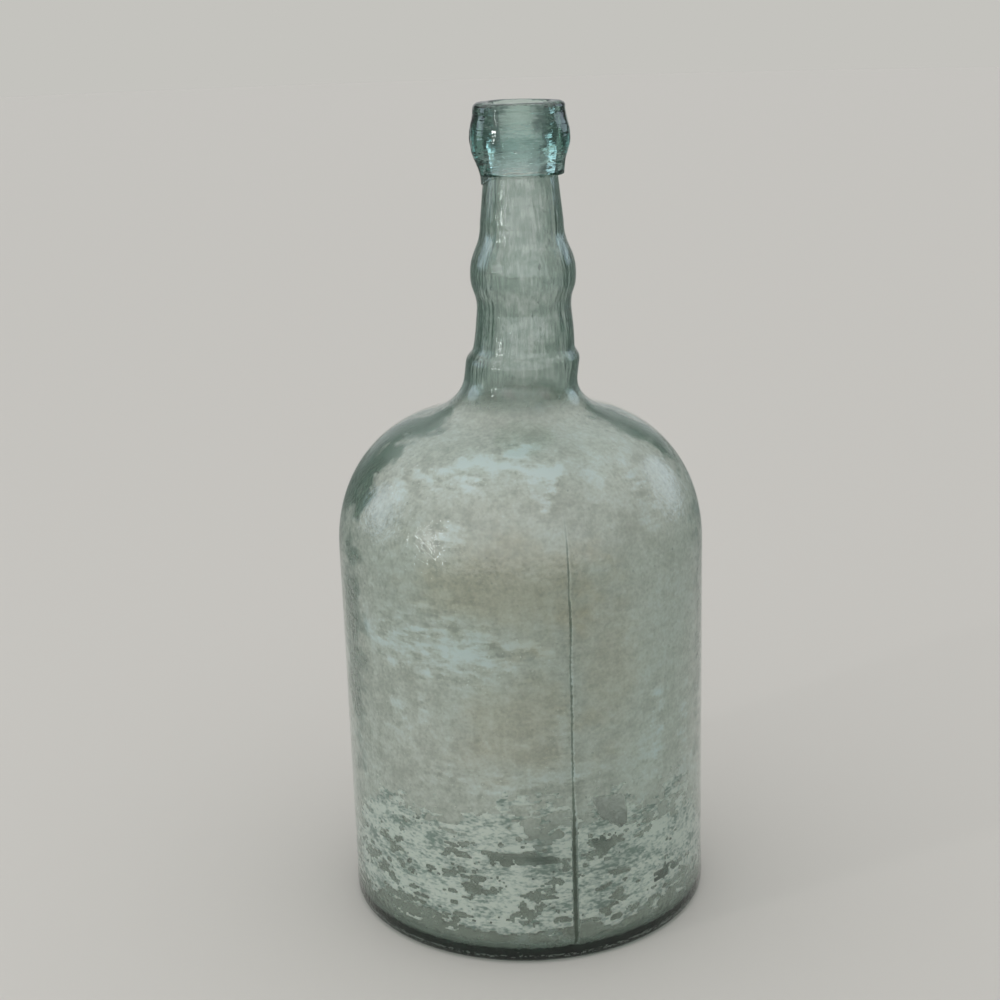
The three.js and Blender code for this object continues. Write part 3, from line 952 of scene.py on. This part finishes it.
scale_radius = BODY_RADIUS - BODY_WALL + SCALE_SINK
scale_foot = (scale_radius, SCALE_FOOT)
scale_outline = np.vstack([[scale_foot], line(scale_foot, (scale_radius, SCALE_TOP), SCALE_STEPS)])
scale = spin_outline("tide_scale_flakes", scale_outline, SCALE_SEGMENTS)
centres = np.empty(len(scale.data.polygons) * 3)
scale.data.polygons.foreach_get("center", centres)
centres = centres.reshape(-1, 3) / MM
print("scale before it flakes:", len(centres), "faces")

# %% Let flakes fall away
# Each place: degrees to the right of the front, height, half width and half height in mm, and how well lime holds.
SCALE_PLACES = (
    (-14, 62, 10, 5, 0.4),
    (0, 48, 16, 4, 0.5),
    (-34, 56, 14, 12, 0.5),
    (42, 46, 10, 8, 0.5),
    (-6, 18, 24, 3, 0.7),
    (180, 50, 26, 14, 0.4),
)
HOLD = 0.44
HOLD_LOST_AT_TIDE = 1.05
TIDE_BAND = 30
HOLD_LOST_AT_FOOT = 0.55
FOOT_BAND_TOP = 28
HOLD_NEEDED = 0.1
SEAM_CLEARANCE = 1.1

level = centres[:, 2]
tide = tide_level(centres)
patches = swell(centres, (24, 24, 14))
streaks = swell(centres + 60, (10, 10, 2.4))
crumbs = swell(centres + 120, (5, 5, 3.2)) + 0.6 * swell(centres + 160, (2, 2, 1.4))
holding = HOLD - HOLD_LOST_AT_TIDE * ramp(level, tide - TIDE_BAND, tide)
holding -= HOLD_LOST_AT_FOOT * ramp(level, FOOT_BAND_TOP, SCALE_FOOT)
holding += patch_sum(centres, SCALE_PLACES) - patch_sum(centres, BARE_AND_SHADED_PLACES)
stays = patches * 0.7 + streaks * 0.6 + crumbs * 0.55 + holding > HOLD_NEEDED
stays &= np.abs(centres[:, 0] * seam_across.x + centres[:, 1] * seam_across.y) > SEAM_CLEARANCE
stays &= window_depth(centres) < 0
bpy.context.tool_settings.mesh_select_mode = (False, False, True)
scale.data.vertices.foreach_set("select", np.zeros(len(scale.data.vertices), bool))
scale.data.edges.foreach_set("select", np.zeros(len(scale.data.edges), bool))
scale.data.polygons.foreach_set("select", ~stays)
bpy.ops.object.mode_set(mode="EDIT")
bpy.ops.mesh.delete(type="FACE")
bpy.ops.mesh.select_all(action="SELECT")
bpy.ops.mesh.vertices_smooth(factor=0.5, repeat=1)
bpy.ops.object.mode_set(mode="OBJECT")
print("scale keeps", int(stays.sum()), "of", len(stays), "faces")

# %% Bed the flakes on the wall and give them thickness
SCALE_THICKNESS = 0.35

points = read_points(scale)
radius = np.hypot(points[:, 0], points[:, 1])
points[:, :2] *= ((scale_radius + wall_waves(points, True)) / radius)[:, None]
write_points(scale, points)
thicken(scale, SCALE_THICKNESS)

# %% [markdown]
# Thick lime is opaque and nearly white where it is fresh broken, and stained grey-green where dregs lay on it. Two
# noises choose between the stain and the white, and a fine bump makes the crumbly surface.

# %% Lime scale material
STAIN_MM = 14
FLECK_MM = 2.6
LEVEL_LAYERS = 2.2
CRUMB_DEPTH = 0.3 * MM
SCALE_ROUGHNESS = 0.85
SCALE_SPECULAR = 0.3

crust, tree, crust_output = new_material("flaky_lime_scale")
place = add_node(tree, "TexCoord").outputs["Object"]
layered = add_node(tree, "Mapping", {}, {"Vector": place, "Scale": (1, 1, LEVEL_LAYERS)})
stain = add_node(tree, "TexNoise", {}, {"Vector": layered, "Scale": 1 / (STAIN_MM * MM), "Detail": 4.0})
fleck = add_node(tree, "TexNoise", {}, {"Vector": layered, "Scale": 1 / (FLECK_MM * MM), "Detail": 6.0})
both = add_node(tree, "Math", PLUS, {0: stain, 1: fleck})
white = add_node(tree, "MapRange", {}, {"Value": both, "From Min": 0.8, "From Max": 1.1})
tone = add_node(tree, "ValToRGB", {}, {0: white})
tone.color_ramp.elements[0].color = paint("#98a199")
tone.color_ramp.elements[1].color = paint("#f8f4ec")
tone.color_ramp.elements.new(0.5).color = paint("#d4d4cd")
bump = add_node(tree, "Bump", {}, {"Height": fleck, "Strength": 0.6, "Distance": CRUMB_DEPTH})
skin = add_node(tree, "BsdfPrincipled", {}, {"Base Color": tone, "Normal": bump, "Roughness": SCALE_ROUGHNESS,
                                             "Specular IOR Level": SCALE_SPECULAR})
tree.links.new(skin.outputs[0], crust_output.inputs["Surface"])
scale.data.materials.append(crust)
print("scale material:", crust.name)

# %% [markdown]
# Each visual piece stands in for the imported node that it replaces, and that node is hidden. Nothing on this bottle
# moves, so every piece rides the one body.

# %% Tie the pieces to the imported model
for piece, node, slot in (
    (bottle, "bottle_body", "aqua_glass"),
    (lip, "applied_lip", "lip_glass"),
    (film, "lime_film", "lime_film"),
    (scale, "tide_scale", "lime_scale"),
):
    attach(piece, "root")
    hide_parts(node)
    print(piece.name, "stands for", node)

# %% [markdown]
# A pale floor and soft light, as in a photo studio. A tall window-like lamp on the left draws the upright highlights,
# and an even pale sky lights the rest. Glass shows mostly what stands round it, and in an even white room it would
# vanish. So the rays that it bends or mirrors meet another sky: pale behind, bright above and in front, dim at the
# sides, with two cool windows. For those rays the far flanks of the floor are dim as well.

# %% Studio floor
FLOOR_RADIUS = 8.0
# How far to the side a spot of the floor lies, as a share of its distance, and that distance in m, from pale to dim.
DIM_FLANKS = (0.1, 0.4)
DIM_DISTANCE = (0.3, 0.9)

bpy.ops.object.select_all(action="DESELECT")
bpy.ops.mesh.primitive_circle_add(vertices=96, radius=FLOOR_RADIUS, fill_type="NGON")
floor = bpy.context.object
floor.name = "studio_floor"
floor_material, tree, floor_output = new_material("pale_matt_board")
spot = add_node(tree, "TexCoord").outputs["Object"]
way = add_node(tree, "VectorMath", {"operation": "NORMALIZE"}, {0: spot})
away = add_node(tree, "VectorMath", {"operation": "LENGTH"}, {0: spot}).outputs["Value"]
sideways = add_node(tree, "SeparateXYZ", {}, {0: way}).outputs["X"]
flank = add_node(tree, "Math", WITHOUT_SIGN, {0: sideways})
ray = add_node(tree, "LightPath").outputs
dim = add_node(tree, "Math", LARGER, {0: ray["Is Glossy Ray"], 1: ray["Is Transmission Ray"]})
for source, (near, far) in ((flank, DIM_FLANKS), (away, DIM_DISTANCE)):
    share = add_node(tree, "MapRange", SMOOTH, {"Value": source, "From Min": near, "From Max": far})
    dim = add_node(tree, "Math", TIMES, {0: dim, 1: share})
board_colour = add_node(tree, "Mix", {"data_type": "RGBA"},
                        {"Factor": dim, "A": paint("#cfccc6"), "B": paint("#6c736f")}).outputs["Result"]
board = add_node(tree, "BsdfPrincipled", {},
                 {"Base Color": board_colour, "Roughness": 0.8, "Specular IOR Level": 0.15})
tree.links.new(board.outputs[0], floor_output.inputs["Surface"])
floor.data.materials.append(floor_material)
print("floor", 2 * FLOOR_RADIUS, "m across")

# %% Sky
# Each side window: the direction that it lies in, and its brightness.
SIDE_WINDOWS = (((-0.933, 0.25, 0.259), 2.4), ((0.82, 0.51, 0.26), 1.8))
WINDOW_EDGE = (0.95, 0.985)
SIDE_GLOW = 0.14
BACK_GLOW = 0.52
# The bright parts above and in front: the axis, where each starts and is full along it, and its brightness.
BRIGHT_PARTS = (("Z", 0.2, 0.7, 1.1), ("Y", -0.25, -0.85, 1.75))
SKY_LIGHT = 0.98

sky = bpy.data.worlds.new("studio")
bpy.context.scene.world = sky
sky.use_nodes = True
tree = sky.node_tree
tree.nodes.clear()
sight = add_node(tree, "TexCoord").outputs["Generated"]
toward = add_node(tree, "SeparateXYZ", {}, {0: sight}).outputs
glow = add_node(tree, "MapRange", SMOOTH, {"Value": toward["Y"], "From Min": 0.8, "From Max": 0.98,
                                           "To Min": SIDE_GLOW, "To Max": BACK_GLOW})
for axis, start, full, brightness in BRIGHT_PARTS:
    part = add_node(tree, "MapRange", SMOOTH,
                    {"Value": toward[axis], "From Min": start, "From Max": full, "To Max": brightness})
    glow = add_node(tree, "Math", LARGER, {0: glow, 1: part})
in_glass = add_node(tree, "Background", {}, {"Color": paint("#f4f6f7"), "Strength": glow})
for direction, brightness in SIDE_WINDOWS:
    pane = add_node(tree, "VectorMath", {"operation": "DOT_PRODUCT"}, {0: sight, 1: direction}).outputs["Value"]
    pane = add_node(tree, "MapRange", SMOOTH, {"Value": pane, "From Min": WINDOW_EDGE[0],
                                               "From Max": WINDOW_EDGE[1], "To Max": brightness})
    daylight = add_node(tree, "Background", {}, {"Color": paint("#cfe2f2"), "Strength": pane})
    in_glass = add_node(tree, "AddShader", {}, {0: in_glass, 1: daylight})
lighting = add_node(tree, "Background", {}, {"Color": paint("#f2f3f4"), "Strength": SKY_LIGHT})
backdrop = add_node(tree, "Background", {}, {"Color": paint("#c4c3be"), "Strength": 1.0})
ray = add_node(tree, "LightPath").outputs
bent = add_node(tree, "Math", LARGER, {0: ray["Is Glossy Ray"], 1: ray["Is Transmission Ray"]})
lit = add_node(tree, "MixShader", {}, {0: bent, 1: lighting, 2: in_glass})
seen = add_node(tree, "MixShader", {}, {0: ray["Is Camera Ray"], 1: lit, 2: backdrop})
add_node(tree, "OutputWorld", {}, {0: seen})
print("sky:", sky.name)

# %% Window lamp
LAMP_WATTS = 2.0
LAMP_WIDTH = 0.045
LAMP_HEIGHT = 0.5
LAMP_PLACE = Vector((-1.19, -0.74, 0.55))
LAMP_AIM = Vector((0, 0, 0.24))

lamp_data = bpy.data.lights.new("window", "AREA")
lamp_data.shape = "RECTANGLE"
lamp_data.size = LAMP_WIDTH
lamp_data.size_y = LAMP_HEIGHT
lamp_data.energy = LAMP_WATTS
lamp = bpy.data.objects.new("window", lamp_data)
bpy.context.collection.objects.link(lamp)
lamp.location = LAMP_PLACE
lamp.rotation_euler = (LAMP_AIM - LAMP_PLACE).to_track_quat("-Z", "Y").to_euler()
print("window of", LAMP_WATTS, "watts at", tuple(round(v, 2) for v in lamp.location))
